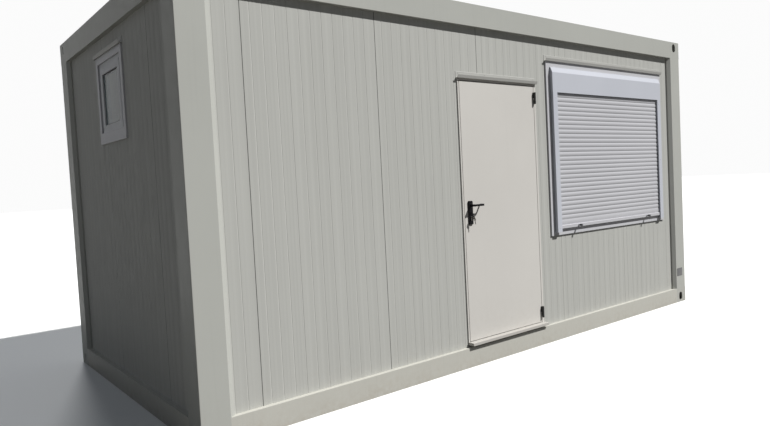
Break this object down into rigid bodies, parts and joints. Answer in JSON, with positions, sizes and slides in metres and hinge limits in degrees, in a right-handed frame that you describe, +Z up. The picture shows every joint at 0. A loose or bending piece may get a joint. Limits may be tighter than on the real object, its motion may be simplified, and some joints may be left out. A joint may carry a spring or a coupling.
{
  "type": "shipping container cabin",
  "caption": "Flat-roofed steel container cabin with ribbed panel walls, a side-hung door, a shuttered window and slotted lifting corners",
  "frame": {"origin": "centre of the ground rectangle that the whole cabin covers, the shutter's buffers that stand out in front included", "axes": "+X runs along the long front from left to right, +Y runs from the front with the door to the back, +Z is up"},
  "size_m": [5.55, 2.732, 2.8],
  "materials": {
    "frame_paint": "semi-gloss grey-beige coat, light dust",
    "wall_paint": "satin grey polyester coat on ribbed sheet",
    "door_paint": "satin light grey coat",
    "shutter_paint": "semi-gloss light grey coated aluminium",
    "galvanised": "dull zinc",
    "floor_sheet": "grey floor covering",
    "inner_lining": "satin off-white",
    "black_fittings": "satin black",
    "lock_metal": "satin nickel",
    "window_plastic": "white window profile",
    "glazing": "clear double glazing"
  },
  "bodies": {
    "cabin": {"corner_blocks_bottom": "frame_paint", "corner_blocks_top": "frame_paint", "corner_posts": "frame_paint", "floor_rails": "frame_paint", "roof_rails": "frame_paint", "floor_joists": "galvanised", "base_sheet": "galvanised", "floor_deck": "floor_sheet", "ceiling_panel": "inner_lining", "roof_joists": "galvanised", "roof_sheet": "galvanised", "front_wall_left": "wall_paint", "front_wall_over_door": "wall_paint", "front_wall_middle": "wall_paint", "front_wall_at_window": "wall_paint", "front_wall_right": "wall_paint", "left_wall_back": "wall_paint", "left_wall_at_window": "wall_paint", "left_wall_front": "wall_paint", "back_wall": "wall_paint", "right_wall": "wall_paint", "door_frame": "door_paint", "door_sill": "door_paint", "door_hinges_on_frame": "black_fittings", "door_drip_cap": "door_paint", "window_trim": "shutter_paint", "window_frame": "window_plastic", "window_sashes": "window_plastic", "window_glass": "glazing", "window_drip_cap": "door_paint", "shutter_box": "shutter_paint", "shutter_guides": "shutter_paint", "shutter_curtain": "shutter_paint", "shutter_bottom_bar": "shutter_paint", "end_window_trim": "shutter_paint", "end_window_frame": "window_plastic", "end_window_sash": "window_plastic", "end_window_glass": "glazing", "end_window_drip_cap": "door_paint"},
    "door": {"door_leaf": "door_paint", "door_hinges_on_leaf": "black_fittings", "handle_plates": "black_fittings", "lock_cylinder": "lock_metal"},
    "lever": {"lever_handle": "black_fittings"}
  },
  "joints": [
    {"name": "door_hinge", "type": "hinge", "parent": "cabin", "child": "door", "pos_m": [0.3115, -1.32, 1.2], "axis": [0, 0, 1], "range_deg": [0, 170]},
    {"name": "lever_turn", "type": "hinge", "parent": "door", "child": "lever", "pos_m": [-0.517, -1.306, 1.25], "axis": [0, 1, 0], "range_deg": [0, 40], "stiffness_Nm_per_rad": 0.8, "springref_deg": -11.46}
  ]
}
